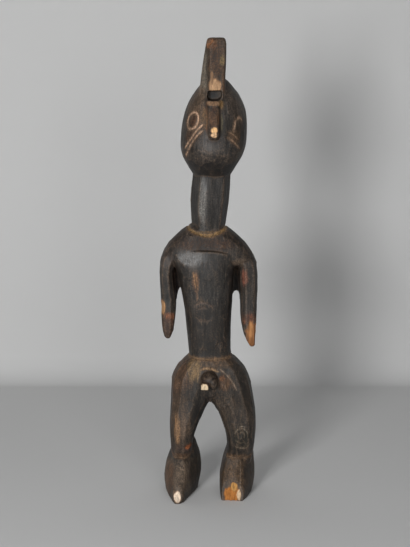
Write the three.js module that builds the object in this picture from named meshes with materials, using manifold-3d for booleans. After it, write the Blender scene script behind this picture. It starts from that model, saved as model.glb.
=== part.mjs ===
// A standing figure carved from one billet of wood: a crested egg-shaped head on a long faceted neck,
// a broad shoulder yoke, arms hanging free of a column-like torso, and bowed legs on wedge-shaped feet.
// Millimetres, +Z up. The figure faces -Y, so its own right side is at -X. It stands on its soles at z = 0.
import * as THREE from "three";
import { mergeVertices } from "three/addons/utils/BufferGeometryUtils.js";
import Module from "manifold-3d";

const wasm = await Module();
wasm.setup();

// Driving heights above the ground
const CREST_TOP = 549.5;
const CROWN = 504;
const CHIN = 388;
const NECK_BASE = 329;
const CHEST_LEDGE = 302;
const WAIST = 173;
const CROTCH = 115;
const ANKLE = 47;

// Height between the rings of a limb
const RING_STEP = 8.5;

// Incised lines: depth, half width and the step along them
const LINE_DEPTH = 1.2;
const LINE_HALF_WIDTH = 1.3;
const LINE_STEP = 3.6;

// Right eye, a ring that leans outwards at its foot
const EYE = { x: -18.2, z: 454.9, halfWidth: 5.9, halfHeight: 9.6, lean: -0.22 };

// Lines on the front, as [x, z] points
const DRAWN_LINES = {
  leftEye: [
    [38, 454.8],
    [35.8, 458.2],
    [32.6, 457.5],
    [30.3, 454.4],
    [29.6, 450],
    [28.6, 442.2],
  ],
  rightCheekUpper: [
    [-5.6, 452],
    [-13.6, 444.1],
    [-21.6, 432.6],
    [-27.6, 422.6],
  ],
  rightCheekLower: [
    [-6.8, 444.8],
    [-14.1, 437.2],
    [-19.9, 428.6],
    [-25.1, 417.6],
    [-26.8, 412.4],
  ],
  leftCheekUpper: [
    [21.5, 442.7],
    [27.9, 438.7],
    [34.2, 432.9],
  ],
  leftCheekLower: [
    [21, 436.9],
    [26.8, 432.3],
    [31.4, 427.7],
    [36, 422.5],
  ],
  overTheLoins: [
    [-9.6, 158.6],
    [-3, 160.6],
    [4.4, 159.6],
    [11.8, 156.8],
  ],
  leftGroin: [
    [13.6, 159.6],
    [20, 153.6],
    [27.6, 144.6],
    [33.4, 134],
  ],
};

// Lines round a limb: the point they circle, the dip at the front, and the turns they run between
const RINGS = {
  collar: { x: -1.5, y: 3, z: 328.4, dip: 9, from: -100, to: 100 },
  waist: { x: 1.5, y: 0, z: 172.6, dip: 2, from: -95, to: 95 },
  rightAnkle: { x: -33, y: 0, z: 48, dip: 0.8, from: -80, to: 60 },
  leftAnkle: { x: 38, y: 0, z: 48, dip: 0.8, from: -60, to: 80 },
};

// Solids from closed geometries, and back
function solidOf(geometry) {
  const plain = geometry.clone();
  plain.deleteAttribute("normal");
  plain.deleteAttribute("uv");
  const merged = mergeVertices(plain, 1e-4);
  return new wasm.Manifold(
    new wasm.Mesh({
      numProp: 3,
      vertProperties: new Float32Array(merged.attributes.position.array),
      triVerts: new Uint32Array(merged.index.array),
    }),
  );
}

function geometryOf(solid) {
  const mesh = solid.getMesh();
  const geometry = new THREE.BufferGeometry();
  geometry.setAttribute("position", new THREE.BufferAttribute(mesh.vertProperties, mesh.numProp));
  geometry.setIndex(new THREE.BufferAttribute(mesh.triVerts, 1));
  return geometry;
}

// A section is a list of [across, along] corners, counted from the front towards +X. Across runs from -1
// at the left edge to 1 at the right edge, and along from 0 at the front to 1 at the back.
function roundSection(degrees, { girth = 0.5, frontPower = 2.3, backPower = 2.3 } = {}) {
  return degrees.map((turn) => {
    const across = Math.sin(THREE.MathUtils.degToRad(turn));
    const ahead = Math.cos(THREE.MathUtils.degToRad(turn));
    const power = ahead > 0 ? frontPower : backPower;
    const swell = (value) => Math.sign(value) * Math.abs(value) ** (2 / power);
    return [swell(across), girth - swell(ahead) * (ahead > 0 ? girth : 1 - girth)];
  });
}

// Corners spaced evenly round a section, in degrees
function evenly(count, turn = 0) {
  return Array.from({ length: count }, (_, i) => turn + (360 * i) / count);
}

function mirrored(section) {
  return section.map(([across, along]) => [-across, along]).reverse();
}

// A limb is a closed cylinder whose rings are moved onto scaled sections. Each station is
// [height, left, right, front, back], listed upwards.
function limb(stations, section, ringStep = RING_STEP) {
  const heights = stations.map((station) => station[0]);
  const edges = new THREE.CubicInterpolant(heights, stations.flatMap((station) => station.slice(1)), 4);
  const levels = [heights[0]];
  for (let i = 1; i < heights.length; i++) {
    const rise = heights[i] - heights[i - 1];
    const rings = Math.max(1, Math.round(rise / ringStep));
    for (let k = 1; k <= rings; k++) levels.push(heights[i - 1] + (rise * k) / rings);
  }
  const sides = section.length;
  const steps = levels.length - 1;
  const blank = new THREE.CylinderGeometry(1, 1, 1, sides, steps);
  const position = blank.getAttribute("position");
  const point = new THREE.Vector3();
  for (let i = 0; i < position.count; i++) {
    point.fromBufferAttribute(position, i);
    const z = levels[Math.round((point.y + 0.5) * steps)];
    const [left, right, front, back] = edges.evaluate(z);
    let [across, along] = [0, 0.5];
    if (Math.hypot(point.x, point.z) > 0.5) {
      const share = Math.atan2(point.x, point.z) / (2 * Math.PI);
      [across, along] = section[Math.round((share < 0 ? share + 1 : share) * sides) % sides];
    }
    position.setXYZ(i, (left + right + (right - left) * across) / 2, front + (back - front) * along, z);
  }
  return solidOf(blank);
}

// A solid cut from a flat outline in x and z, running from the front plane to the back plane
function slabOf(outline, front, back) {
  const shape = new THREE.Shape(outline.map(([x, z]) => new THREE.Vector2(x, z)));
  const slab = new THREE.ExtrudeGeometry(shape, { depth: back - front, bevelEnabled: false });
  slab.rotateX(Math.PI / 2);
  slab.translate(0, back, 0);
  return solidOf(slab);
}

// A block that removes everything in front of a plane
function cutBlock(at, normal, size) {
  const block = new THREE.BoxGeometry(size, size, size);
  block.translate(0, 0, size / 2);
  block.applyQuaternion(
    new THREE.Quaternion().setFromUnitVectors(new THREE.Vector3(0, 0, 1), normal.clone().normalize()),
  );
  block.translate(at.x, at.y, at.z);
  return solidOf(block);
}

// Head: an egg on end with a muzzle that juts over the neck
function head() {
  return limb(
    [
      [CHIN, -14, 21, -13, 22],
      [CHIN + 3, -19, 26.6, -18.5, 27],
      [400, -24.5, 32.3, -27, 33.5],
      [409, -29.8, 38, -34, 39],
      [418.5, -32.9, 42.3, -37, 43],
      [428, -33.5, 44.4, -36.2, 46],
      [437, -33, 45.1, -34.8, 47.8],
      [451, -31.3, 45.2, -33, 49],
      [465, -27.8, 43.6, -31.8, 47.5],
      [475, -23.8, 40.2, -30.4, 44.5],
      [484, -18.2, 35.3, -27.4, 40],
      [493, -11.6, 28.2, -21.6, 33],
      [499.5, -5.5, 22.5, -15, 26],
      [CROWN, 1, 15, -8, 16],
    ],
    roundSection(evenly(22), { frontPower: 2.2, backPower: 2.1 }),
    7.5,
  );
}

// Crest: a thick comb that rises from the forehead and runs over the crown to the nape. Its front is a
// flat strip, with a broad bevel down the figure's right flank.
function crest() {
  const comb = limb(
    [
      [438, -2, 14, 20, 44],
      [452, -5, 15.5, 8, 50.2],
      [466, -7.6, 17.3, -14, 50],
      [474, -8.6, 17.7, -27.5, 49],
      [481, -9.8, 18.2, -30.2, 47],
      [495, -10.4, 19, -28, 40],
      [507, -9, 19.4, -25.6, 33.5],
      [520, -7.3, 20, -22.8, 26.5],
      [533, -5.2, 20.5, -20.8, 19],
      [543, -3.4, 20.3, -19, 12],
      [547.8, -2, 19.2, -17.4, 7.5],
      [CREST_TOP, 0.6, 17.4, -15, 4],
    ],
    [
      [-0.98, 0],
      [0.1, 0],
      [0.84, 0.01],
      [1, 0.1],
      [0.97, 0.6],
      [0.72, 0.96],
      [0.1, 1],
      [-0.62, 0.94],
      [-0.97, 0.6],
    ],
    9,
  );
  const arris = new THREE.Vector3(2.2, -27.4, 494);
  const upTheArris = new THREE.Vector3(0.2, 7, 46);
  const acrossTheBevel = new THREE.Vector3(-12, 10.5, 0);
  return comb.subtract(cutBlock(arris, upTheArris.cross(acrossTheBevel), 140));
}

// Pocket hollowed into the forehead under the foot of the crest: flat above, with rounded corners below
function foreheadPocket() {
  const outline = [
    [-0.8, 489.4],
    [14.4, 490],
    [15.2, 485],
    [14.4, 481.4],
    [10.4, 478.8],
    [3.4, 478.2],
    [-1, 479.4],
    [-2, 482.6],
  ];
  return slabOf(outline, -45, -14);
}

// Nose: a long flat ridge from the brow to a jutting tip, chamfered below
function nose() {
  return limb(
    [
      [434.6, 2, 10.2, -41, -24],
      [436, 0.8, 11.2, -43.6, -24],
      [439.8, -0.4, 12.2, -48.4, -24],
      [447, -0.8, 12.6, -45, -24],
      [461, -1, 12.8, -39.4, -22],
      [471, -1.2, 13.2, -35.6, -20],
      [475.4, -2.6, 14.8, -34.2, -18],
      [478.6, -3.4, 16, -32.4, -18],
    ],
    [[-0.5, 0.02], [0, 0], [0.5, 0.02], [0.9, 0.2], [1, 0.6], [1, 1], [-1, 1], [-1, 0.4], [-0.96, 0.14]],
    7,
  );
}

// Neck: a column with irregular knife facets, thickest at its middle
function neck() {
  return limb(
    [
      [306, -18.5, 18, -14, 20],
      [NECK_BASE, -20.2, 20, -17, 22.5],
      [343, -21.2, 22, -18, 24],
      [360, -21.8, 24.4, -18.5, 25.5],
      [373, -20.9, 25.4, -18.4, 26],
      [CHIN + 6, -18.6, 26.3, -17.6, 26.4],
    ],
    roundSection([-88, -32, -9, 39, 84, 122, 160, 200, 238]),
    16,
  );
}

// Yoke: the shoulders as one rounded cape. Below the armpits only its back carries on, as the web
// that ties the arms to the torso behind.
function yoke() {
  return limb(
    [
      [236, -45, 45, 16, 21.5],
      [244, -49, 49, 13, 23.5],
      [256, -53, 53, 11, 25.5],
      [268, -56.5, 56.5, 9, 27],
      [277, -58.4, 58.4, 4, 27.8],
      [283.5, -58.5, 57.8, -15, 28.2],
      [290, -57.4, 55.7, -20.6, 28.4],
      [300, -53.6, 50.4, -21.6, 28.2],
      [309.5, -47.2, 43.3, -20.6, 26.8],
      [319, -37.8, 33.2, -18.2, 24.6],
      [326, -29.5, 24.6, -15, 22.5],
      [NECK_BASE + 1.5, -22, 18, -10, 19],
    ],
    roundSection(evenly(24), { frontPower: 2.8, backPower: 2.5 }),
    8,
  );
}

// The chest and the right arm stand a little proud of the yoke and end above in one arched ledge
function belowLedge(solid) {
  const ledge = new THREE.SplineCurve(
    [
      [-66, 287],
      [-54, 293.4],
      [-43.3, 296.4],
      [-29, 300.4],
      [-12, CHEST_LEDGE],
      [8, 301.3],
      [23, 297.6],
      [32, 290.5],
      [42, 278],
    ].map(([x, z]) => new THREE.Vector2(x, z)),
  );
  const arch = ledge.getPoints(18).map(({ x, y }) => [x, y]);
  return solid.intersect(slabOf([[-66, 150], [42, 150], ...arch.reverse()], -60, 60));
}

// Torso: a column that tapers to the waist, with one flat cut that leans back below the ledge
function torso() {
  const column = limb(
    [
      [160, -22, 25.5, -21, 21.5],
      [WAIST, -23.7, 27, -22.4, 22.5],
      [187, -24.9, 26.8, -23, 22.8],
      [206.5, -26.8, 26.9, -24.2, 23.5],
      [226, -28.6, 27.6, -24.6, 24.4],
      [243, -31.4, 28.6, -25.2, 25],
      [258, -34.2, 29.4, -26, 26],
      [275, -37.6, 30.2, -26.6, 26.6],
      [290, -46, 34.6, -25.9, 26.6],
      [CHEST_LEDGE + 2, -49, 39, -24.6, 26],
    ],
    roundSection(evenly(18, 4), { frontPower: 2.7, backPower: 2.5 }),
    12,
  );
  const flatTop = new THREE.Vector3(-16, -22.4, 300.5);
  return column.subtract(cutBlock(flatTop, new THREE.Vector3(-0.2, -0.95, 0.2), 140));
}

const ARM_SECTION = roundSection([-70, -32, 12, 50, 92, 140, 190, 236], {
  frontPower: 2.6,
  backPower: 2.4,
});

// Right arm: slimmer, worn away at the hand
function rightArm() {
  return limb(
    [
      [193.6, -50.5, -46.6, -10.5, -5.5],
      [196, -53, -45.2, -14, -2],
      [203, -55.5, -42, -15.8, 2.5],
      [212.5, -56.8, -40, -16, 6.5],
      [227, -57.5, -38.6, -14.4, 11.5],
      [242, -57.8, -38.3, -13.5, 17],
      [257, -58.7, -40.4, -14.5, 21.5],
      [271, -59, -42, -15.4, 24],
      [283, -58.7, -39, -16, 25],
      [292, -57, -35, -15.6, 24],
      [302, -52, -30, -13, 21],
    ],
    ARM_SECTION,
    13,
  );
}

// Left arm: broader and longer, tapering to a worn tip
function leftArm() {
  return limb(
    [
      [183.8, 50, 54.5, -12, -7.5],
      [186.5, 47.4, 56.2, -15.5, -3.5],
      [194, 43.6, 56.8, -17.5, 1],
      [203, 40.6, 57.2, -17.6, 5],
      [217, 37.7, 57.8, -15.6, 10.5],
      [232, 37.2, 58.2, -14, 15.5],
      [247, 36.8, 59, -13.4, 20],
      [260, 35.6, 59.2, -14, 23],
      [273, 35.4, 59, -15, 24.5],
      [284, 34, 57.8, -15, 25],
      [292, 31, 54, -12.6, 24],
      [302, 26, 46, -7, 19],
    ],
    mirrored(ARM_SECTION),
    13,
  );
}

// Openings between each arm and the torso, closed above by the web
function armGaps() {
  const right = [
    [-42, 205],
    [-38.9, 227],
    [-38.2, 240],
    [-36.6, 247.6],
    [-34.3, 252.6],
    [-33.3, 251],
    [-31.6, 243],
    [-28.4, 222],
    [-27, 205],
  ];
  const left = [
    [27, 205],
    [28, 236],
    [29.2, 243],
    [31, 246.8],
    [33.6, 248],
    [36, 246.4],
    [37.4, 242],
    [37.4, 225],
    [39, 205],
  ];
  return slabOf(right, -60, 60).add(slabOf(left, -60, 60));
}

// Belly: fills the hollow between the two hips
function belly() {
  return limb(
    [
      [116.4, 0, 3.8, -16.5, 13],
      [121, -6, 10.6, -21.4, 20],
      [127, -16, 22.4, -24.6, 25],
      [140, -26, 31, -28.8, 30],
      [152, -27, 31.5, -28.2, 30],
      [164, -25, 28.5, -25.8, 26],
      [172, -19, 23, -21.6, 21],
    ],
    roundSection(evenly(16), { frontPower: 2.5, backPower: 2.3 }),
    9,
  );
}

const LEG_SECTION = roundSection([-96, -62, -28, 6, 40, 74, 112, 150, 186, 222], {
  frontPower: 2.4,
  backPower: 2.2,
});

// Right leg: bowed outwards, narrow at the knee, and swelling above into the hip and the seat
function rightLeg() {
  return limb(
    [
      [38, -44, -22, -15, 14],
      [ANKLE, -45, -21.5, -18, 16],
      [56, -46, -20, -22.6, 15.5],
      [67.5, -46.9, -18.4, -26.4, 15],
      [77, -47.4, -15.8, -27.6, 17],
      [87, -47.3, -12.2, -28, 20],
      [97, -46.9, -8, -27.8, 23.5],
      [107, -46.6, -3.8, -27.2, 27],
      [CROTCH, -46.3, 1.6, -26.9, 30],
      [125, -46, 6.4, -27.4, 33.4],
      [138, -45.6, 12, -27.8, 36],
      [147, -44, 15, -27.8, 36],
      [157, -39, 19, -27, 33],
      [166, -31.8, 22, -25.2, 28.4],
      [WAIST, -24.7, 24.5, -22.8, 24],
    ],
    LEG_SECTION,
    10,
  );
}

// Left leg: fuller than the right
function leftLeg() {
  return limb(
    [
      [38, 22, 52.5, -15, 15],
      [ANKLE, 21.4, 54, -18.2, 17],
      [56, 22.2, 55.2, -23, 16.5],
      [66.5, 21.9, 56.2, -26.8, 16],
      [77, 20, 57.4, -28, 18],
      [87, 16.8, 58, -28.4, 21],
      [97, 13.2, 57.8, -28, 24],
      [107, 8.6, 56.9, -27.4, 27.5],
      [CROTCH, 1.8, 55.6, -27.1, 30],
      [125, -2.6, 54, -27.6, 33.4],
      [138, -8, 51.4, -28, 36],
      [147, -11, 48.6, -28, 36],
      [157, -15, 43.6, -27.2, 33],
      [166, -18, 35.9, -25.4, 28.4],
      [WAIST, -20.5, 28.1, -23, 24],
    ],
    mirrored(LEG_SECTION),
    10,
  );
}

// Right foot and heel: a wedge with its point forwards, its heel reaching up behind the shin
function rightFoot() {
  const foot = limb(
    [
      [0, -52.6, -13.4, -50.6, 29],
      [5, -53.6, -12.2, -51.6, 31.5],
      [12, -54.5, -10.6, -48.6, 33.2],
      [20.5, -54.6, -9, -42, 34],
      [31, -53, -8.4, -32.5, 33.6],
      [41, -49.8, -9.6, -23.8, 32],
      [ANKLE, -47.4, -11.2, -19.6, 30],
      [50, -46, -12.4, -14, 28.6],
      [54, -45, -13.8, -6, 26.5],
      [60, -41.5, -15.6, 1, 22.5],
      [67, -34, -18.6, 8, 17],
    ],
    [
      [-0.22, 0],
      [-0.04, 0.01],
      [0.17, 0.08],
      [0.36, 0.24],
      [0.6, 0.42],
      [0.82, 0.58],
      [1, 0.74],
      [0.92, 0.9],
      [0.5, 0.99],
      [-0.1, 1],
      [-0.66, 0.96],
      [-0.96, 0.86],
      [-1, 0.7],
      [-0.92, 0.56],
      [-0.8, 0.4],
      [-0.66, 0.24],
      [-0.5, 0.08],
      [-0.38, 0.01],
    ],
    8,
  );
  const toeBreak = new THREE.Vector3(-36, -49.6, 4);
  return foot.subtract(cutBlock(toeBreak, new THREE.Vector3(0.06, -0.92, 0.38), 40));
}

// Left foot and heel: its inner edge runs straight forwards, and its toes are broken off square
function leftFoot() {
  const foot = limb(
    [
      [0, 13.8, 53.6, -50, 29],
      [5, 13.5, 55, -50, 31.5],
      [12, 13.4, 56.4, -44.4, 33.2],
      [20.5, 13.8, 57.4, -35, 34],
      [31, 15.6, 57, -27.8, 33.6],
      [41, 18, 55.8, -22.4, 32],
      [ANKLE, 20, 54.8, -19.6, 30],
      [50, 21.2, 53.6, -14, 28.6],
      [54, 22, 52, -6, 26.5],
      [60, 24, 48.5, 1, 22.5],
      [67, 29, 42, 8, 17],
    ],
    [
      [-0.35, 0],
      [0.06, 0.02],
      [0.36, 0.12],
      [0.58, 0.26],
      [0.78, 0.42],
      [0.94, 0.58],
      [1, 0.72],
      [0.9, 0.88],
      [0.5, 0.99],
      [-0.1, 1],
      [-0.66, 0.96],
      [-0.94, 0.86],
      [-1, 0.68],
      [-0.98, 0.44],
      [-0.95, 0.22],
      [-0.84, 0.06],
    ],
    8,
  );
  const toeBreak = new THREE.Vector3(26, -37.5, 4);
  return foot.subtract(cutBlock(toeBreak, new THREE.Vector3(-0.1, -0.95, 0.3), 60));
}

// Loin boss: a short thick swelling that droops forwards. Its tip is snapped off square on the figure's
// right, and a rounded lobe is left beside the break.
function loinBoss() {
  const swelling = new THREE.SphereGeometry(1, 14, 9);
  swelling.scale(10.2, 12, 9.6);
  swelling.translate(0.8, -28, 148);
  const lobe = new THREE.SphereGeometry(1, 10, 7);
  lobe.scale(5.6, 8, 7.4);
  lobe.translate(5.6, -33.4, 145);
  const stub = new THREE.BoxGeometry(9, 18, 8.6);
  stub.rotateX(0.24);
  stub.translate(-4.7, -34.2, 144);
  return solidOf(swelling).add(solidOf(lobe)).add(solidOf(stub));
}

// Incised lines are cut with a six-sided rod sunk to half its thickness along a path on the surface
function incise(solid, points) {
  const tip = new THREE.Shape(
    evenly(6).map((turn) => {
      const angle = THREE.MathUtils.degToRad(turn);
      return new THREE.Vector2(LINE_HALF_WIDTH * Math.cos(angle), LINE_DEPTH * Math.sin(angle));
    }),
  );
  const path = new THREE.CatmullRomCurve3(points);
  const rod = new THREE.ExtrudeGeometry(tip, { steps: points.length - 1, extrudePath: path });
  return solid.subtract(solidOf(rod));
}

// Points of a curve drawn in x and z, pressed onto the front of the figure
function onFront(surface, curve) {
  const steps = Math.ceil(curve.getLength() / LINE_STEP);
  return curve.getPoints(steps).map(({ x, y: z }) => {
    const ray = new THREE.Raycaster(new THREE.Vector3(x, -200, z), new THREE.Vector3(0, 1, 0));
    return ray.intersectObject(surface)[0].point;
  });
}

// Points round a limb, pressed onto it from outside. The ring is level at the sides and lower by the dip
// at the front, and runs between two turns counted from the front.
function roundLimb(surface, { x, y, z, dip, from, to }) {
  const steps = Math.ceil((to - from) / 13);
  return Array.from({ length: steps + 1 }, (_, i) => {
    const turn = THREE.MathUtils.degToRad(from + ((to - from) * i) / steps);
    const outward = new THREE.Vector3(Math.sin(turn), -Math.cos(turn), 0);
    const height = z - dip * Math.cos(turn) ** 2;
    const start = new THREE.Vector3(x, y, height).addScaledVector(outward, 45);
    return new THREE.Raycaster(start, outward.negate()).intersectObject(surface)[0].point;
  });
}

// The right eye is a leaning ring, cut as two halves
function rightEye() {
  const { x, z, halfWidth, halfHeight, lean } = EYE;
  return [0, Math.PI].map(
    (start) => new THREE.EllipseCurve(x, z, halfWidth, halfHeight, start, start + Math.PI, false, lean),
  );
}

function incisedLines(surface) {
  const drawn = Object.values(DRAWN_LINES).map(
    (line) => new THREE.SplineCurve(line.map(([x, z]) => new THREE.Vector2(x, z))),
  );
  return [
    ...[...rightEye(), ...drawn].map((curve) => onFront(surface, curve)),
    ...Object.values(RINGS).map((ring) => roundLimb(surface, ring)),
  ];
}

const rough = [
  head(),
  crest(),
  nose(),
  neck(),
  yoke(),
  belowLedge(torso()),
  belowLedge(rightArm()),
  leftArm(),
  belly(),
  rightLeg(),
  leftLeg(),
  rightFoot(),
  leftFoot(),
  loinBoss(),
].reduce((whole, piece) => whole.add(piece));

const hollowed = rough.subtract(foreheadPocket()).subtract(armGaps());
const carved = incisedLines(new THREE.Mesh(geometryOf(hollowed))).reduce(incise, hollowed);

const wood = new THREE.MeshStandardMaterial({ color: 0x3b332c, roughness: 0.62, metalness: 0 });
const figure = new THREE.Mesh(geometryOf(carved), wood);
figure.name = "figure";

const statue = new THREE.Group();
statue.add(figure);

export default statue;
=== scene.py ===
import math

import bmesh
import bpy
import numpy as np
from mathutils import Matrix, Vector
from mathutils.bvhtree import BVHTree
from mathutils.kdtree import KDTree


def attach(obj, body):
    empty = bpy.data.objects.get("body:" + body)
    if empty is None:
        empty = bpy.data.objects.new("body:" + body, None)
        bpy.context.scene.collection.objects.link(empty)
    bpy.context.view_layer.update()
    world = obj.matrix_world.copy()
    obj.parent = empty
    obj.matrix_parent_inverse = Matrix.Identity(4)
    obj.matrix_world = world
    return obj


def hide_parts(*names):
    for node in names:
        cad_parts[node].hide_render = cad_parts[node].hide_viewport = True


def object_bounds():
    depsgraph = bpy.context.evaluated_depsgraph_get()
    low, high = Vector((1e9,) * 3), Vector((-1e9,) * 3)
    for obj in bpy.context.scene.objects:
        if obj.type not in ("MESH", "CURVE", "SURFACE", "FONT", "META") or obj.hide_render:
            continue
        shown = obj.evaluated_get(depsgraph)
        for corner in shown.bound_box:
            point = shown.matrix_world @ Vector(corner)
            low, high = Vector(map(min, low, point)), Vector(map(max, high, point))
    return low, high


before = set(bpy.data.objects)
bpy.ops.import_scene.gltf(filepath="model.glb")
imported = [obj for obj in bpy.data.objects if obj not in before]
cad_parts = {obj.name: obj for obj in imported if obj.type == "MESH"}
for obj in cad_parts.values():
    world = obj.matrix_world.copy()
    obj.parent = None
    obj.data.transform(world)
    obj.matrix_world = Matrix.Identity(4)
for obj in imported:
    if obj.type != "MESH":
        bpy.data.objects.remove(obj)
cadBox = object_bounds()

mm = 0.001


def smoothStep(low, high, value):
    t = np.clip((value - low) / (high - low), 0, 1)
    return t * t * (3 - 2 * t)


# Soft random mottling between -1 and 1 that changes over size millimetres along x, y and z
def mottle(points, size, seed):
    lattice = np.random.default_rng(seed).uniform(-1, 1, (24, 24, 24))
    q = points / np.array(size) + 500
    cell = np.floor(q).astype(int)
    f = q - cell
    f = f * f * (3 - 2 * f)
    total = np.zeros(len(points))
    for corner in np.ndindex(2, 2, 2):
        weight = np.prod(np.where(np.array(corner) == 1, f, 1 - f), axis=1)
        x, y, z = ((cell + corner) % 24).T
        total += weight * lattice[x, y, z]
    return total


def deselectAll():
    if bpy.context.object and bpy.context.object.mode != "OBJECT":
        bpy.ops.object.mode_set(mode="OBJECT")
    bpy.ops.object.select_all(action="DESELECT")


def pick(piece):
    deselectAll()
    piece.select_set(True)
    bpy.context.view_layer.objects.active = piece


def readPoints(piece):
    flat = np.empty(len(piece.data.vertices) * 3, np.float32)
    piece.data.vertices.foreach_get("co", flat)
    return flat.reshape(-1, 3).astype(float) / mm


def writePoints(piece, points):
    piece.data.vertices.foreach_set("co", (points * mm).astype(np.float32).ravel())
    piece.data.update()


def readNormals(piece):
    flat = np.empty(len(piece.data.vertices) * 3, np.float32)
    piece.data.vertex_normals.foreach_get("vector", flat)
    return flat.reshape(-1, 3).astype(float)


def readEdges(piece):
    flat = np.empty(len(piece.data.edges) * 2, np.int32)
    piece.data.edges.foreach_get("vertices", flat)
    return flat.reshape(-1, 2)


# Each point's neighbours, one row a point, filled up with the point itself
def neighbourTable(edges, count):
    ends = np.concatenate([edges, edges[:, ::-1]])
    ends = ends[np.argsort(ends[:, 0], kind="stable")]
    degree = np.bincount(ends[:, 0], minlength=count)
    first = np.concatenate([[0], np.cumsum(degree)[:-1]])
    place = np.arange(len(ends)) - first[ends[:, 0]]
    table = np.repeat(np.arange(count)[:, None], degree.max(), axis=1)
    table[ends[:, 0], place] = ends[:, 1]
    return table, degree


def blur(values, table, degree, weight, rounds, pull=0.75):
    spare = (table.shape[1] - degree)[:, None]
    share = (pull * weight)[:, None]
    degree = degree[:, None]
    for _ in range(rounds):
        around = values[table[:, 0]].copy()
        for column in range(1, table.shape[1]):
            around += values[table[:, column]]
        around = (around - spare * values) / degree
        values = values + share * (around - values)
    return values


# Smoothing that gives back what it shrinks
def relax(points, table, degree, weight, rounds):
    soft = blur(points, table, degree, weight, rounds)
    return soft + blur(points - soft, table, degree, weight, rounds)


def nearestOf(samples, points):
    tree = KDTree(len(samples))
    for i, sample in enumerate(samples):
        tree.insert(sample, i)
    tree.balance()
    found = [tree.find(p) for p in points]
    return np.array([f[1] for f in found]), np.array([f[2] for f in found])


# A curve through the points, with a point every step millimetres
def throughPoints(points, step=0.5):
    p = np.array(points, float)
    p = np.vstack([2 * p[0] - p[1], p, 2 * p[-1] - p[-2]])
    curve = []
    for i in range(1, len(p) - 2):
        count = max(2, int(np.linalg.norm(p[i + 1] - p[i]) / step))
        for t in np.arange(count) / count:
            curve.append(
                0.5 * (2 * p[i] + (p[i + 1] - p[i - 1]) * t
                       + (2 * p[i - 1] - 5 * p[i] + 4 * p[i + 1] - p[i + 2]) * t * t
                       + (3 * p[i] - p[i - 1] - 3 * p[i + 1] + p[i + 2]) * t ** 3)
            )
    return np.array(curve + [p[-2]])


eyeRing = {"x": -18.2, "z": 454.9, "halfWidth": 5.9, "halfHeight": 9.6, "lean": 0.22}

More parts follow.
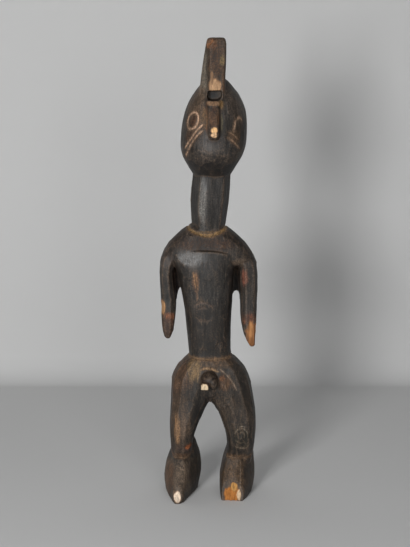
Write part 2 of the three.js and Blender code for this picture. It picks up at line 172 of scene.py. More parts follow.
# Lines on the front: [x, z] points, depth, half width, colour and how much of it shows
paleLine, dimLine, ochreLine = (196, 160, 132), (140, 112, 90), (150, 118, 74)
frontLines = {
    "leftEye": ([(38, 454.8), (35.8, 458.2), (32.6, 457.5), (30.3, 454.4), (29.6, 450), (28.6, 442.2)],
                0.8, 1.5, (165, 135, 112), 0.75),
    "rightCheekUpper": ([(-5.6, 452), (-13.6, 444.1), (-21.6, 432.6), (-27.6, 422.6)],
                        1.0, 1.25, paleLine, 0.8),
    "rightCheekLower": ([(-6.8, 444.8), (-14.1, 437.2), (-19.9, 428.6), (-25.1, 417.6), (-26.8, 412.4)],
                        1.0, 1.25, paleLine, 0.8),
    "leftCheekUpper": ([(21.5, 442.7), (27.9, 438.7), (34.2, 432.9)], 0.7, 1.2, dimLine, 0.7),
    "leftCheekLower": ([(21, 436.9), (26.8, 432.3), (31.4, 427.7), (36, 422.5)], 0.7, 1.2, dimLine, 0.85),
    "overTheLoins": ([(-9.6, 158.6), (-3, 160.6), (4.4, 159.6), (11.8, 156.8)],
                     0.9, 1.3, (178, 146, 110), 0.8),
    "leftGroin": ([(13.6, 159.6), (20, 153.6), (27.6, 144.6), (33.4, 134)], 0.7, 1.0, (150, 132, 116), 0.8),
    "kneeOval": ([(31, 80), (35, 85.5), (41.5, 86.5), (46.5, 81), (47, 73.5)], 0.3, 0.7, (130, 124, 110), 0.7),
    "kneeHook": ([(36, 84), (37.5, 88.5), (42, 89), (43.5, 85)], 0.3, 0.6, (140, 134, 122), 0.7),
    "kneeInner": ([(35.5, 79), (39, 82.5), (43, 79.5), (42.4, 74.5)], 0.25, 0.6, (120, 112, 98), 0.6),
    "underKnee": ([(30.5, 64.8), (35, 62), (40, 61.2), (45.5, 62.4), (50, 66)],
                  0.3, 0.8, (128, 118, 102), 0.7),
    "underKneeLow": ([(33, 71), (38, 68.6), (43, 69)], 0.25, 0.6, (116, 108, 94), 0.6),
    "navelArcUpper": ([(-17, 236), (-9, 240.5), (0, 238.5), (6, 232)], 0.3, 0.8, (84, 72, 66), 0.6),
    "navelArcMiddle": ([(-14, 231), (-7, 234.6), (-1, 233)], 0.25, 0.8, (84, 72, 66), 0.6),
    "navelArcLower": ([(-15.5, 222), (-7, 218), (2, 219.5)], 0.25, 0.8, (78, 66, 60), 0.6),
    "chinWaveUpper": ([(-9.5, 424.5), (-5, 420.5), (0.5, 419), (5, 420.5)], 0.3, 0.8, (92, 88, 84), 0.5),
    "chinWaveLower": ([(-8.5, 417.5), (-3.5, 413.8), (1.5, 413.4)], 0.3, 0.8, (88, 84, 80), 0.5),
    "chestScratchLong": ([(-18.6, 278), (-17.4, 272), (-16.6, 265), (-15, 258)],
                         0.5, 0.9, (150, 112, 76), 0.85),
    "chestScratchShort": ([(-15.8, 276), (-14.2, 269.5), (-13.4, 262), (-12.4, 256)],
                          0.45, 0.8, (140, 100, 66), 0.8),
    "chestScratchAcross": ([(-17.6, 268), (-15.4, 262.5), (-12.8, 259)], 0.4, 0.8, (142, 104, 70), 0.7),
    "chestScratchLow": ([(-14.8, 256), (-13.4, 249), (-13.9, 242)], 0.4, 0.8, (106, 78, 60), 0.7),
    "crestCrack": ([(-1.5, 538.5), (-0.6, 541.6), (1.6, 542.8), (3, 545.2), (5.2, 546.6)],
                   1.3, 1.5, (150, 92, 48), 0.9),
    "crestCheck": ([(9.5, 547.8), (8.2, 544.5), (6.4, 541.4)], 1.0, 0.9, (52, 38, 30), 0.9),
    "crestHook": ([(13.2, 518), (15.4, 516.6), (17.4, 517.2)], 0.5, 0.8, (70, 46, 34), 0.8),
    "footRidge": ([(38.6, 43), (38.5, 32), (38.3, 20), (38, 11)], 0.35, 0.8, (150, 136, 122), 0.6),
    "toeSplit": ([(-41.5, 19), (-41.2, 12), (-41, 6)], 0.7, 0.9, (48, 38, 32), 0.8),
}

# Lines round a limb: the point they circle, the dip at the front, the turns they run between,
# then depth, half width, colour and how much of it shows
ringLines = {
    "collar": ((-1.5, 3, 328.4), 9, (-180, 180), 1.2, 2.1, ochreLine, 0.85),
    "waist": ((1.5, 0, 172.6), 2, (-180, 180), 1.1, 1.7, (118, 94, 70), 0.8),
    "rightAnkle": ((-33, 0, 48), 0.8, (-80, 60), 0.9, 1.6, (112, 90, 70), 0.7),
    "leftAnkle": ((38, 0, 48), 0.8, (-60, 80), 0.9, 1.6, (106, 86, 68), 0.7),
}


def seen(colour):
    c = np.array(colour, float) / 255
    return np.where(c < 0.04045, c / 12.92, ((c + 0.055) / 1.055) ** 2.4)


def eyePoints():
    turns = np.radians(np.arange(0, 361, 15))
    x = eyeRing["halfWidth"] * np.cos(turns) + eyeRing["lean"] * eyeRing["halfHeight"] * np.sin(turns)
    return list(zip(eyeRing["x"] + x, eyeRing["z"] + eyeRing["halfHeight"] * np.sin(turns)))


# Every line laid on the surface, as samples with depth, half width, show and colour
def layLines(surface):
    samples, sizes = [], []

    def keep(hit, depth, halfWidth, colour, show, ends):
        if hit[0] is not None:
            samples.append(np.array(hit[0]))
            sizes.append((depth * ends, halfWidth * (0.6 + 0.4 * ends), show * ends, *seen(colour)))

    rows = dict(frontLines, rightEye=(eyePoints(), 1.1, 1.45, (205, 168, 140), 0.9))
    for name, (points, *size) in rows.items():
        curve = throughPoints(points)
        for i, (x, z) in enumerate(curve):
            fromEnd = min(i, len(curve) - 1 - i) / 6
            ends = 1 if name == "rightEye" else min(1, 0.35 + 0.65 * fromEnd)
            keep(surface.ray_cast((x, -200, z), (0, 1, 0)), *size, ends)
    for (x, y, z), dip, (start, stop), *size in ringLines.values():
        for turn in np.arange(start, stop, 0.8):
            angle = math.radians(turn)
            outward = Vector((math.sin(angle), -math.cos(angle), 0))
            origin = Vector((x, y, z - dip * math.cos(angle) ** 2 * (abs(turn) < 90))) + outward * 45
            ends = 1 if stop - start > 350 else min(1, min(turn - start, stop - turn) / 8 + 0.2)
            keep(surface.ray_cast(origin, -outward), *size, ends)
    return np.array(samples), np.array(sizes)


carving = {
    "voxel": 0.9,   # size of the mesh that is carved
    "arrisAngle": 34,       # edges of the solid sharper than this stay
    "arrisReach": (1.2, 7), # millimetres from such an edge where smoothing starts and is full
    "softness": 5.2,        # reach of the smoothing
    "giveBack": 60,         # rounds of blur on what the smoothing took, which then goes back on
    "cell": 12,             # width of a knife facet
    "triangles": 192000,
}

# Facet height over width, and how flat the knife left the wood, by height up the figure
facetRows = [
    # height, tall, flat
    (0, 1.3, 0.3), (44, 1.4, 0.4), (60, 2.2, 0.75), (120, 2.4, 0.7), (165, 1.8, 0.5), (180, 2.4, 0.3),
    (290, 2.4, 0.3), (305, 1.3, 0.35), (328, 1.2, 0.3), (335, 3, 0.15), (380, 3, 0.15), (395, 1.2, 0.3),
    (450, 1.5, 0.3), (500, 1.6, 0.3), (520, 3, 0.2), (550, 3, 0.2),
]


def sharpSamples(piece):
    mesh = bmesh.new()
    mesh.from_mesh(piece.data)
    limit = math.radians(carving["arrisAngle"])
    samples = []
    for edge in mesh.edges:
        if edge.is_manifold and edge.calc_face_angle() > limit:
            a, b = (np.array(v.co) / mm for v in edge.verts)
            count = max(1, int(np.linalg.norm(b - a) / 1.2))
            samples += [a + (b - a) * t / count for t in range(count + 1)]
    mesh.free()
    return np.array(samples)


# Flat planes that a knife left: seeds spread over the surface, the best plane of each cell, and every
# point moved towards the planes of the cells round it
def knifeFacets(points, normals, strength):
    heights, tall = [r[0] for r in facetRows], [r[1] for r in facetRows]
    fine = np.arange(-5, 560, 1.0)
    climb = np.concatenate([[0], np.cumsum(1 / np.interp(fine, heights, tall))[:-1]])
    feature = np.column_stack([
        points[:, 0] / carving["cell"],
        points[:, 1] / carving["cell"],
        np.interp(points[:, 2], fine, climb) / carving["cell"],
        normals * 1.1,
    ])
    rng = np.random.default_rng(11)
    seeds = []
    for i in rng.permutation(len(points))[:9000]:
        if not seeds or np.min(np.sum((feature[seeds] - feature[i]) ** 2, axis=1)) > 0.92:
            seeds.append(i)
    seeds = np.array(seeds)
    seedFeature = feature[seeds]
    nearest = np.empty((len(points), 4), int)
    spread = np.empty((len(points), 4))
    for start in range(0, len(points), 20000):
        part = feature[start:start + 20000]
        d = (part ** 2).sum(1)[:, None] + (seedFeature ** 2).sum(1) - 2 * part @ seedFeature.T
        order = np.argpartition(d, 4, axis=1)[:, :4]
        nearest[start:start + 20000] = order
        spread[start:start + 20000] = np.take_along_axis(d, order, axis=1)
    best = nearest[np.arange(len(points)), spread.argmin(1)]
    centres, planes, rough = [], [], []
    for cell in range(len(seeds)):
        members = points[best == cell]
        if len(members) < 8:
            centres.append(points[seeds[cell]])
            planes.append(normals[seeds[cell]])
            rough.append(9)
            continue
        centre = members.mean(0)
        axes = np.linalg.svd(members - centre, full_matrices=False)[2]
        plane = axes[2] * np.sign(axes[2] @ normals[best == cell].mean(0))
        centres.append(centre)
        planes.append(plane)
        rough.append(np.abs((members - centre) @ plane).mean())
    centres, planes, rough = np.array(centres), np.array(planes), np.array(rough)
    share = np.exp(-(spread - spread.min(1)[:, None]) * 26)
    share /= share.sum(1)[:, None]
    height = np.einsum("ijk,ijk->ij", centres[nearest] - points[:, None], planes[nearest])
    height /= np.clip(np.einsum("ik,ijk->ij", normals, planes[nearest]), 0.6, 1)
    trust = 1 - smoothStep(0.55, 1.3, rough)
    move = (share * height * trust[nearest]).sum(1) * strength
    print("knife facets:", len(seeds))
    return np.clip(move, -1.4, 1.4)


def carveFigure():
    figure = bpy.data.objects.new("carved_figure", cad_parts["figure"].data.copy())
    bpy.context.scene.collection.objects.link(figure)
    pick(figure)
    bpy.ops.object.mode_set(mode="EDIT")
    bpy.ops.mesh.select_all(action="SELECT")
    bpy.ops.mesh.remove_doubles(threshold=0.00001)
    bpy.ops.object.mode_set(mode="OBJECT")
    sharp = sharpSamples(figure)

    remesh = figure.modifiers.new("billet", "REMESH")
    remesh.mode = "VOXEL"
    remesh.voxel_size = carving["voxel"] * mm
    bpy.ops.object.modifier_apply(modifier=remesh.name)
    points = billet = readPoints(figure)
    table, degree = neighbourTable(readEdges(figure), len(points))
    print("billet:", len(points), "points")

    surface = BVHTree.FromPolygons(points.tolist(), [tuple(f.vertices) for f in figure.data.polygons])
    lines, lineSizes = layLines(surface)
    _, nearLine = nearestOf(lines, sharp)
    sharp = sharp[nearLine > 2.4]

    _, away = nearestOf(sharp, points)
    low, high = carving["arrisReach"]
    free = smoothStep(low, high, away)
    sole = smoothStep(0.5, 4, points[:, 2])
    weight = np.clip(0.02 + free, 0, 1) * sole
    rounds = int(carving["softness"] ** 2 / (0.375 * carving["voxel"] ** 2))
    points = relax(points, table, degree, weight, rounds)
    points = blur(points, table, degree, np.clip(0.4 + weight, 0, 1) * sole, 2)
    writePoints(figure, points)
    normals = blur(readNormals(figure), table, degree, np.ones(len(points)), 6)
    normals /= np.linalg.norm(normals, axis=1)[:, None]
    print("smoothed")

    flat = np.interp(points[:, 2], [r[0] for r in facetRows], [r[2] for r in facetRows])
    strength = flat * smoothStep(2, 7, away) * sole
    points += normals * knifeFacets(points, normals, strength)[:, None]
    lost = ((billet - points) * normals).sum(1)[:, None]
    points += normals * blur(lost, table, degree, sole, carving["giveBack"])
    writePoints(figure, points)
    return figure, points, lines, lineSizes


# Grooves pressed in along the lines
def cutLines(figure, points):
    normals = readNormals(figure)
    index, away = nearestOf(lines, points)
    depth, halfWidth = lineSizes[index, :2].T
    uneven = 1 + 0.25 * mottle(points, (5, 5, 5), 3)
    cut = depth * uneven * np.clip(1 - (away / halfWidth) ** 2, 0, 1) ** 1.4
    return points - normals * cut[:, None]


figure, points, lines, lineSizes = carveFigure()
points = cutLines(figure, points)
writePoints(figure, points)
print("lines cut")

# Bare wood: centre, half sizes, colour
barePlaces = {
    "crestFoot": ((7.4, -24, 494.5), (7.6, 10, 8.5), (176, 140, 106)),
    "crestFootStreak": ((3.6, -22, 503), (1.8, 8, 9), (150, 118, 90)),
    "noseTip": ((6.3, -47.5, 446.4), (3.9, 6, 4.4), (232, 186, 132)),
    "noseTipUnder": ((6.2, -47.5, 440.2), (3.4, 6, 3.2), (214, 176, 136)),
    "loinStub": ((-5, -43, 141.6), (5.0, 5, 5.2), (226, 202, 168)),
    "rightToe": ((-37.4, -47.6, 8.2), (4.3, 5, 8), (236, 214, 190)),
    "leftFootBreak": ((27.5, -36, 7.4), (10, 11, 9), (170, 108, 48)),
    "leftFootBreakTop": ((30.5, -34, 16), (4, 8, 5), (192, 142, 80)),
    "leftFootEdge": ((36.6, -37.5, 7.4), (2.6, 5, 6.4), (226, 196, 160)),
    "rightHandOuter": ((-55.5, -8, 232.5), (4.8, 9, 9), (160, 122, 86)),
    "leftHandTip": ((51.5, -6, 199), (8, 18, 18), (140, 92, 54)),
    "leftHandPale": ((49.5, -14, 205), (3.4, 8, 10), (166, 116, 72)),
}


def placeMask(points, centre, halfSizes, seed, ragged=0.28, edge=0.14):
    near = (np.abs(points - centre) < np.array(halfSizes) * 1.6).all(1)
    mask = np.zeros(len(points))
    some = points[near]
    away = np.linalg.norm((some - centre) / halfSizes, axis=1)
    away += ragged * mottle(some, (2.6, 2.6, 5), seed) + 0.4 * ragged * mottle(some, (1.2, 1.2, 3), seed + 1)
    mask[near] = 1 - smoothStep(1 - edge, 1 + edge, away)
    return mask


def inPocket(points):
    x, y, z = points.T
    across = smoothStep(9.6, 8.2, np.abs(x - 6.6)) * smoothStep(477, 478.5, z) * smoothStep(491, 489.8, z)
    return across * smoothStep(-30.5, -26, y)


def bareMask(points):
    bare = np.zeros(len(points))
    colour = np.tile(seen((170, 120, 80)), (len(points), 1))
    for seed, (centre, halfSizes, tint) in enumerate(barePlaces.values()):
        mask = placeMask(points, centre, halfSizes, 40 + 2 * seed, 0.2) * (1 - inPocket(points))
        colour += (seen(tint) - colour) * mask[:, None]
        bare = np.maximum(bare, mask)
    return bare, colour


bare, _ = bareMask(points)
normals = readNormals(figure)
fibres = 0.5 + 0.5 * mottle(points, (1.5, 1.5, 9), 21)
points -= normals * (bare * (0.25 + 0.55 * fibres))[:, None]
points -= normals * (0.12 * mottle(points, (3.2, 3.2, 11), 22) + 0.05)[:, None]
low, high = (np.array(corner) / mm for corner in cadBox)
points = np.clip(points, low, high)
writePoints(figure, points)

pick(figure)
fewer = figure.modifiers.new("fewer", "DECIMATE")
fewer.ratio = min(1, carving["triangles"] / (2 * len(figure.data.polygons)))
bpy.ops.object.modifier_apply(modifier=fewer.name)
writePoints(figure, np.clip(readPoints(figure), low, high))
bpy.ops.object.shade_smooth()
print("figure:", len(figure.data.polygons), "faces")

# Places of the patina, of painted highlights and of painted shade, each marked where it stands: centre, half
# sizes, colour, polish and how much of it shows
patinaAndPaintedLightPlaces = {
    "crest": ((6, 5, 520), (24, 60, 48), (70, 58, 46), 0.4, 0.8),
    # Greenish-grey patina on the crest's left flank, made lighter grey by a painted sheen where the key light
    # falls
    "crestFlankPatinaAndPaintedSheen": ((-7, 0, 508), (5.5, 40, 42), (120, 114, 104), 0.55, 0.9),
    "crestFront": ((8.8, -21, 522), (8, 9, 30), (82, 60, 42), 0.35, 0.9),
    "crestTop": ((3, -18, 543), (6, 8, 6), (146, 94, 56), 0.3, 0.7),
    "crestYellow": ((15.7, -21.9, 523.3), (2.6, 6, 6), (150, 130, 90), 0.3, 0.9),
    "crestEdge": ((17.6, -24.9, 500), (2.4, 9, 13), (126, 90, 60), 0.3, 0.7),
    "foreheadRight": ((-15, -18, 474), (13, 16, 22), (102, 84, 68), 0.45, 0.8),
    "foreheadLeft": ((28, -18, 472), (15, 18, 22), (84, 76, 70), 0.55, 0.8),
    "browBar": ((5.9, -33, 475.6), (13, 6, 2.6), (180, 140, 104), 0.3, 0.9),
    "browYellow": ((14, -29, 474), (3.6, 6, 4.4), (150, 118, 72), 0.3, 0.9),
    "noseRidge": ((6, -38, 458), (6.6, 9, 14), (100, 70, 46), 0.4, 0.9),
    "noseTopDark": ((7.5, -36, 468), (3.5, 6, 3.5), (66, 44, 32), 0.3, 0.7),
    "noseCrease": ((-2.6, -30, 456), (1.8, 7, 18), (92, 60, 38), 0.2, 0.9),
    "cheekWarm": ((-5, -30, 457), (4, 8, 13), (110, 84, 54), 0.35, 0.7),
    "noseGreen": ((15.2, -31, 452), (1.5, 6, 12), (98, 92, 68), 0.4, 0.7),
    "eyeHalo": ((-18.2, -24, 453), (9.5, 9, 15), (82, 58, 38), 0.35, 0.7),
    "eyeInside": ((-18.2, -24, 454.8), (3.8, 6, 7.4), (74, 48, 32), 0.3, 0.8),
    "underEye": ((-20, -24, 436), (9, 9, 7), (84, 56, 38), 0.35, 0.6),
    "leftEyeHalo": ((32, -20, 450), (7, 10, 12), (78, 66, 54), 0.45, 0.6),
    "leftCheekWarm": ((30, -26, 438), (8, 9, 9), (98, 78, 60), 0.4, 0.8),
    # Painted highlight: the muzzle, facing up and forward, is painted lighter grey for the sheen it catches
    "muzzle": ((1, -34, 430), (19, 10, 12), (64, 58, 54), 0.65, 0.8),
    # Painted reflection: a cool bluish grey on the lower right of the muzzle
    "muzzlePaintedReflection": ((22, -28, 424), (11, 12, 10), (48, 50, 52), 0.6, 0.7),
    # Painted shade: the underside of the chin and the top of the neck, which face down, painted near-black
    "underChinPaintedShade": ((3, -12, 400), (42, 40, 14), (28, 26, 26), 0.5, 0.9),
    # Painted shadow under the nose
    "underNosePaintedShadow": ((6, -34, 433), (8, 6, 3.5), (34, 26, 22), 0.4, 0.8),
    "neck": ((2, 2, 360), (30, 30, 34), (48, 46, 45), 0.7, 0.9),
    # Painted highlight: a light grey stripe on the neck's left facet for the reflection of the key light; its
    # high polish is the real finish
    "neckPaintedHighlight": ((-8, -17, 360), (5, 5, 30), (120, 120, 118), 1.0, 0.8),
    "collarBand": ((-2, -17, 322.5), (17, 7, 2.6), (150, 120, 76), 0.2, 0.7),
    "yoke": ((-2, 0, 312), (50, 34, 14), (52, 40, 32), 0.4, 0.8),
    "yokeRust": ((-4, -20, 309), (34, 8, 7), (66, 44, 28), 0.35, 0.7),
    "rightShoulder": ((-50, 0, 292), (10, 26, 14), (76, 66, 60), 0.5, 0.7),
    "leftShoulder": ((47, 0, 292), (13, 26, 16), (68, 58, 50), 0.45, 0.7),
    "chest": ((-3, -22, 262), (36, 12, 38), (50, 48, 46), 0.6, 0.9),
    # Painted highlight: the flat at the top of the chest is painted lighter grey for the sheen it catches from
    # above
    "chestFlatPaintedHighlight": ((-21, -23, 293), (20, 6, 9), (76, 74, 72), 0.9, 0.8),
    # Painted highlight along the right end of the chest ledge
    "chestLedgePaintedHighlight": ((36, -17, 287), (7, 5, 5), (120, 104, 90), 0.6, 0.7),
    "chestWarm": ((-15.6, -25, 266), (4, 7, 13), (96, 70, 52), 0.4, 0.7),
    "belly": ((0, -22, 205), (30, 14, 32), (40, 36, 32), 0.45, 0.8),
    # Painted shade: the left flank of the torso, turned away from the key light, painted darker
    "flank": ((26, -6, 230), (8, 20, 60), (36, 33, 31), 0.45, 0.7),
    "rightArm": ((-50, 0, 255), (9, 20, 34), (40, 39, 38), 0.5, 0.8),
    # Soot and painted shade: the inner side of the right arm and the gap to the torso, painted dark reddish
    # brown
    "rightArmpitSootAndPaintedShade": ((-40, 4, 262), (4.5, 14, 22), (54, 34, 28), 0.3, 0.8),
    "leftArm": ((49, 0, 255), (10, 20, 36), (58, 54, 50), 0.5, 0.8),
    # Painted shade in the gap between the left arm and the torso
    "leftArmpitPaintedShade": ((36, 6, 268), (4, 14, 18), (40, 30, 26), 0.3, 0.8),
    "leftArmRed": ((42.5, -13, 268), (3.6, 7, 9.5), (140, 88, 70), 0.35, 0.9),
    "rightHand": ((-49, -4, 210), (11, 20, 17), (68, 42, 30), 0.35, 0.9),
    "rightHandRust": ((-47, -14, 222), (7, 8, 4), (140, 86, 54), 0.3, 0.7),
    "leftHandEdge": ((48, -4, 218), (9, 20, 8), (124, 76, 52), 0.35, 0.8),
    "loins": ((2, -20, 166), (27, 14, 8), (92, 74, 56), 0.35, 0.85),
    "rightHip": ((-34, 0, 146), (22, 30, 26), (106, 80, 60), 0.4, 0.8),
    "rightHipPale": ((-17, -22, 158), (8, 9, 15), (144, 120, 86), 0.3, 0.85),
    "leftHip": ((40, 0, 146), (22, 30, 26), (62, 56, 50), 0.5, 0.8),
    "groin": ((19, -27, 143), (8, 8, 9), (104, 76, 52), 0.35, 0.7),
    "groinOrange": ((15.5, -27, 149), (3, 6, 3), (156, 104, 62), 0.3, 0.7),
    "loinKnob": ((-0.5, -36, 147), (11.5, 12, 12), (46, 34, 26), 0.45, 0.9),
    # Painted shade between the thighs and under the loins
    "crotchPaintedShade": ((0, 0, 112), (15, 34, 16), (32, 28, 26), 0.35, 0.8),
    "rightThigh": ((-34, -16, 96), (13, 18, 34), (104, 86, 70), 0.4, 0.8),
    # Painted shade: the inner face of the right thigh, turned away from the key light
    "rightThighInsidePaintedShade": ((-14, -6, 98), (9, 24, 26), (30, 28, 26), 0.4, 0.85),
    "rightThighPale": ((-37.6, -25, 84), (3.4, 7, 20), (180, 140, 100), 0.3, 0.75),
    "rightShinDark": ((-34, -14, 60), (13, 18, 6), (80, 66, 60), 0.4, 0.7),
    "rightShinOrange": ((-24.6, -18, 62.6), (4.4, 8, 3.8), (180, 104, 56), 0.25, 0.9),
    "leftThigh": ((28, -16, 106), (24, 20, 26), (72, 62, 52), 0.45, 0.8),
    "leftKnee": ((39, -24, 76), (11, 12, 14), (48, 46, 38), 0.4, 0.8),
    "rightAnkleBand": ((-33, -6, 50), (18, 26, 4), (124, 96, 74), 0.3, 0.7),
    "leftAnkleBand": ((38, -6, 49), (18, 26, 4), (112, 90, 70), 0.3, 0.7),
    "rightFoot": ((-34, -8, 24), (26, 50, 20), (126, 112, 98), 0.4, 0.8),
    "rightFootOuter": ((-48, -16, 22), (7, 26, 20), (116, 84, 56), 0.35, 0.8),
    # Painted shade on the inner side of the right foot
    "rightFootInnerPaintedShade": ((-16, -10, 24), (8, 34, 22), (54, 46, 38), 0.4, 0.8),
    "leftFoot": ((36, -8, 26), (24, 44, 20), (102, 82, 62), 0.4, 0.8),
    # Painted shade: the outer side of the left foot, turned away from the key light
    "leftFootOuterPaintedShade": ((50, -8, 22), (8, 34, 20), (60, 50, 42), 0.4, 0.8),
}

# Share of each colour that the soot over the whole figure lets through: red, green, blue
patinaDepth = (0.6, 0.56, 0.52)

# Bits of rust and dust that the carved lines and hollows hold
dusty = (104, 76, 50)


# Lays on the patina, the painted highlights and painted shade of the places above, the near-black painted
# shade in the pocket, dust by the lines and the lines' own colours
def paintPatinaAndPaintedLight(points):
    coat = np.tile(seen((54, 50, 46)), (len(points), 1))
    polish = np.full(len(points), 0.5)
    for seed, (centre, halfSizes, colour, shine, show) in enumerate(patinaAndPaintedLightPlaces.values()):
        mask = placeMask(points, centre, halfSizes, 100 + 2 * seed, 0.22, 0.3) * show
        coat += (seen(colour) - coat) * mask[:, None]
        polish += (shine - polish) * mask
    coat *= patinaDepth
    # The pocket under the crest's overhang is painted near-black: painted shade in the undercut
    coat += (seen((10, 10, 12)) - coat) * inPocket(points)[:, None]
    index, away = nearestOf(lines, points)
    halfWidth, show = lineSizes[index, 1], lineSizes[index, 2]
    near = smoothStep(2.4, 0.9, away / halfWidth) * show * 0.35
    coat += (seen(dusty) - coat) * near[:, None]
    broken = 0.75 + 0.35 * mottle(points, (1.6, 1.6, 1.6), 31)
    mask = smoothStep(1.2, 0.5, away / halfWidth) * np.clip(show * broken, 0, 1)
    coat += (lineSizes[index, 3:] - coat) * mask[:, None]
    polish *= 1 - 0.6 * mask
    return np.column_stack([coat, polish])


def paint(name, values):
    kind = "FLOAT_COLOR" if values.ndim == 2 else "FLOAT"
    layer = figure.data.attributes.new(name, kind, "POINT")
    layer.data.foreach_set("color" if values.ndim == 2 else "value", values.astype(np.float32).ravel())


points = readPoints(figure)
table, degree = neighbourTable(readEdges(figure), len(points))
bare, bareColour = bareMask(points)
coat = paintPatinaAndPaintedLight(points)
everywhere = np.ones(len(points))
normals = readNormals(figure)
bulge = ((points - blur(points, table, degree, everywhere, 8)) * normals).sum(1)
paint("coat", coat)
paint("bare", bare)
paint("bareColour", np.column_stack([bareColour, everywhere]))
paint("arris", smoothStep(0.05, 0.3, bulge))
paint("hollow", smoothStep(0.05, 0.3, -bulge))
print("patina painted")


def patina():
    material = bpy.data.materials.new("dark_wood_patina")
    material.use_nodes = True
    nodes, links = material.node_tree.nodes, material.node_tree.links
    surface = nodes["Principled BSDF"]

    def put(value, socket):
        if isinstance(value, tuple):
            socket.default_value = (*value, 1)
        elif isinstance(value, (int, float)):
            socket.default_value = value
        else:
            links.new(value, socket)

    def attribute(name, output="Fac"):
        node = nodes.new("ShaderNodeAttribute")
        node.attribute_name = name
        return node.outputs[output]

    surface.inputs["Specular IOR Level"].default_value = 0.4
    place = nodes.new("ShaderNodeTexCoord").outputs["Object"]

    # Noise that is stretched up the grain
    def grain(size, stretch, detail=3.0, rough=0.55):
        mapping = nodes.new("ShaderNodeMapping")
        mapping.inputs["Scale"].default_value = (1, 1, 1 / stretch)
        links.new(place, mapping.inputs["Vector"])
        node = nodes.new("ShaderNodeTexNoise")
        node.inputs["Scale"].default_value = 1 / (size * mm)
        node.inputs["Detail"].default_value = detail
        node.inputs["Roughness"].default_value = rough
        links.new(mapping.outputs["Vector"], node.inputs["Vector"])
        return node.outputs["Fac"]

    def ramp(value, low, high, start=0.0, stop=1.0):
        node = nodes.new("ShaderNodeMapRange")
        node.interpolation_type = "SMOOTHSTEP"
        for name, amount in (("From Min", low), ("From Max", high), ("To Min", start), ("To Max", stop)):
            node.inputs[name].default_value = amount
        links.new(value, node.inputs["Value"])
        return node.outputs["Result"]

    def socketOf(sockets, identifier):
        return next(s for s in sockets if s.identifier == identifier)

    def blend(share, under, over, kind="MIX"):
        node = nodes.new("ShaderNodeMix")
        node.data_type = "RGBA"
        node.blend_type = kind
        put(under, socketOf(node.inputs, "A_Color"))
        put(over, socketOf(node.inputs, "B_Color"))
        put(share, socketOf(node.inputs, "Factor_Float"))
        return socketOf(node.outputs, "Result_Color")

    def reckon(operation, a, b):
        node = nodes.new("ShaderNodeMath")
        node.operation = operation
        put(a, node.inputs[0])
        put(b, node.inputs[1])
        return node.outputs["Value"]

    def grey(value):
        node = nodes.new("ShaderNodeCombineColor")
        for socket in node.inputs:
            links.new(value, socket)
        return node.outputs["Color"]

    coatColour = attribute("coat", "Color")
    polish = attribute("coat", "Alpha")
    bareShare = attribute("bare")
    streaks = grain(2.2, 9)
    fineStreaks = grain(0.9, 7, 2)
    clouds = grain(16, 1.6, 4)
    specks = grain(1.5, 1.2, 3, 0.7)
    crumbs = grain(0.8, 1, 2, 0.7)

    shade = reckon("MULTIPLY", ramp(streaks, 0.3, 0.7, 0.55, 1.45), ramp(clouds, 0.3, 0.7, 0.7, 1.3))
    shade = reckon("MULTIPLY", shade, ramp(specks, 0.32, 0.68, 0.45, 1.55))
    colour = blend(1.0, coatColour, grey(shade), "MULTIPLY")
    rust = reckon("MULTIPLY", ramp(specks, 0.56, 0.7), ramp(clouds, 0.4, 0.62, 0.1, 0.6))
    rust = reckon("MULTIPLY", rust, ramp(polish, 0.8, 0.3))
    colour = blend(rust, colour, (0.17, 0.085, 0.04))
    soot = reckon("MULTIPLY", ramp(crumbs, 0.42, 0.3), 0.6)
    colour = blend(soot, colour, (0.012, 0.01, 0.009))
    rubbed = reckon("MULTIPLY", attribute("arris"), ramp(specks, 0.4, 0.6, 0.1, 0.5))
    colour = blend(rubbed, colour, (0.16, 0.11, 0.075))
    filled = reckon("MULTIPLY", attribute("hollow"), ramp(clouds, 0.35, 0.6, 0.1, 0.4))
    colour = blend(filled, colour, (0.10, 0.065, 0.04))

    bareColour = blend(1.0, attribute("bareColour", "Color"), grey(ramp(streaks, 0.3, 0.7, 0.62, 1.2)),
                       "MULTIPLY")
    bareColour = blend(ramp(fineStreaks, 0.6, 0.72, 0.0, 0.55), bareColour, (0.09, 0.045, 0.02))
    colour = blend(bareShare, colour, bareColour)
    put(colour, surface.inputs["Base Color"])

    gloss = reckon("ADD", ramp(polish, 0.0, 1.0, 0.74, 0.34), ramp(specks, 0.35, 0.65, -0.07, 0.1))
    gloss = reckon("ADD", gloss, reckon("MULTIPLY", bareShare, 0.3))
    put(gloss, surface.inputs["Roughness"])

    height = reckon("ADD", reckon("MULTIPLY", streaks, 0.8), reckon("MULTIPLY", fineStreaks, 0.45))
    height = reckon("ADD", height, reckon("MULTIPLY", specks, 0.5))
    bump = nodes.new("ShaderNodeBump")
    bump.inputs["Strength"].default_value = 0.8
    bump.inputs["Distance"].default_value = 0.5 * mm
    put(height, bump.inputs["Height"])
    put(bump.outputs["Normal"], surface.inputs["Normal"])
    return material


figure.data.materials.clear()
figure.data.materials.append(patina())
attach(figure, "root")
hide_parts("figure")
print("figure dressed")

studio = {
    "reach": 5.0,       # half width of the paper, and how far it runs towards the camera
    "back": 0.517,      # where it turns up behind the figure
    "height": 3.0,
    "bend": 0.045,
    "tone": (0.66, 0.66, 0.655),
}

camera = {"place": (-0.00436, -1.65, 0.586), "tilt": 79.197, "lens": 92.52}

softLights = {
    # place, aim, size, power
    "keyLeft": ((-0.62, -1.72, 0.62), (0, 0, 0.28), 0.4, 23.0),
    "fillRight": ((0.5, -1.75, 0.7), (0, 0, 0.25), 0.6, 5.5),
    "overhead": ((-0.2, -0.2, 2.1), (0, 0, 0), 1.6, 1.2),
}


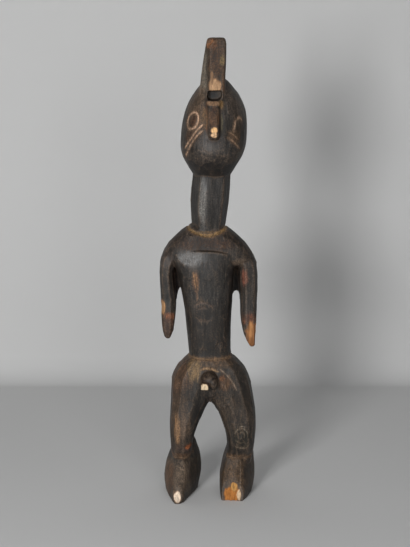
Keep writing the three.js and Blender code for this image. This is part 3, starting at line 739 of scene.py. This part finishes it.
# Pale paper: a floor that turns up into a wall. From behind, the wall is left out, so that the back
# of the figure can be looked at.
def paper():
    material = bpy.data.materials.new("pale_paper")
    material.use_nodes = True
    nodes, links = material.node_tree.nodes, material.node_tree.links
    surface = nodes["Principled BSDF"]
    surface.inputs["Base Color"].default_value = (*studio["tone"], 1)
    surface.inputs["Roughness"].default_value = 0.85
    surface.inputs["Specular IOR Level"].default_value = 0.2
    side = nodes.new("ShaderNodeNewGeometry")
    clear = nodes.new("ShaderNodeBsdfTransparent")
    either = nodes.new("ShaderNodeMixShader")
    links.new(side.outputs["Backfacing"], either.inputs["Fac"])
    links.new(surface.outputs["BSDF"], either.inputs[1])
    links.new(clear.outputs["BSDF"], either.inputs[2])
    links.new(either.outputs["Shader"], nodes["Material Output"].inputs["Surface"])
    return material


def rollOutPaper():
    reach, back = studio["reach"], studio["back"]
    deselectAll()
    bpy.ops.mesh.primitive_plane_add(size=1, location=(0, (back - reach) / 2, 0))
    sheet = bpy.context.object
    sheet.name = "studio_paper"
    sheet.scale = (2 * reach, back + reach, 1)
    bpy.ops.object.transform_apply(location=True, rotation=True, scale=True)
    bpy.ops.object.mode_set(mode="EDIT")
    bpy.ops.mesh.select_all(action="DESELECT")
    bpy.ops.mesh.select_mode(type="EDGE")
    mesh = bmesh.from_edit_mesh(sheet.data)
    for edge in mesh.edges:
        edge.select_set(all(v.co.y > back - 0.001 for v in edge.verts))
    bmesh.update_edit_mesh(sheet.data)
    bpy.ops.mesh.extrude_region_move(TRANSFORM_OT_translate={"value": (0, 0, studio["height"])})
    mesh = bmesh.from_edit_mesh(sheet.data)
    for edge in mesh.edges:
        edge.select_set(all(v.co.y > back - 0.001 and v.co.z < 0.001 for v in edge.verts))
    bmesh.update_edit_mesh(sheet.data)
    bpy.ops.mesh.bevel(offset=studio["bend"], segments=12, affect="EDGES")
    bpy.ops.mesh.select_all(action="SELECT")
    bpy.ops.mesh.normals_make_consistent(inside=True)
    bpy.ops.object.mode_set(mode="OBJECT")
    up = max(sheet.data.polygons, key=lambda face: face.area * (abs(face.normal.z) > 0.9)).normal.z
    if up < 0:
        sheet.data.flip_normals()
    bpy.ops.object.shade_smooth()
    sheet.data.materials.append(paper())


def addLight(name, place, aim, size, power):
    deselectAll()
    bpy.ops.object.light_add(type="AREA", location=place)
    light = bpy.context.object
    light.name = name
    light.data.shape = "SQUARE"
    light.data.size = size
    light.data.energy = power
    light.rotation_euler = (Vector(aim) - Vector(place)).to_track_quat("-Z", "Y").to_euler()


rollOutPaper()
for name, settings in softLights.items():
    addLight(name, *settings)
world = bpy.data.worlds.new("studio_air")
world.use_nodes = True
world.node_tree.nodes["Background"].inputs["Color"].default_value = (0.95, 0.97, 1, 1)
world.node_tree.nodes["Background"].inputs["Strength"].default_value = 0.13
bpy.context.scene.world = world
bpy.context.scene.view_settings.view_transform = "Standard"

deselectAll()
bpy.ops.object.camera_add(location=camera["place"], rotation=(math.radians(camera["tilt"]), 0, 0))
bpy.context.object.data.lens = camera["lens"]
bpy.context.object.data.sensor_width = 36
bpy.context.scene.camera = bpy.context.object
print("studio set")
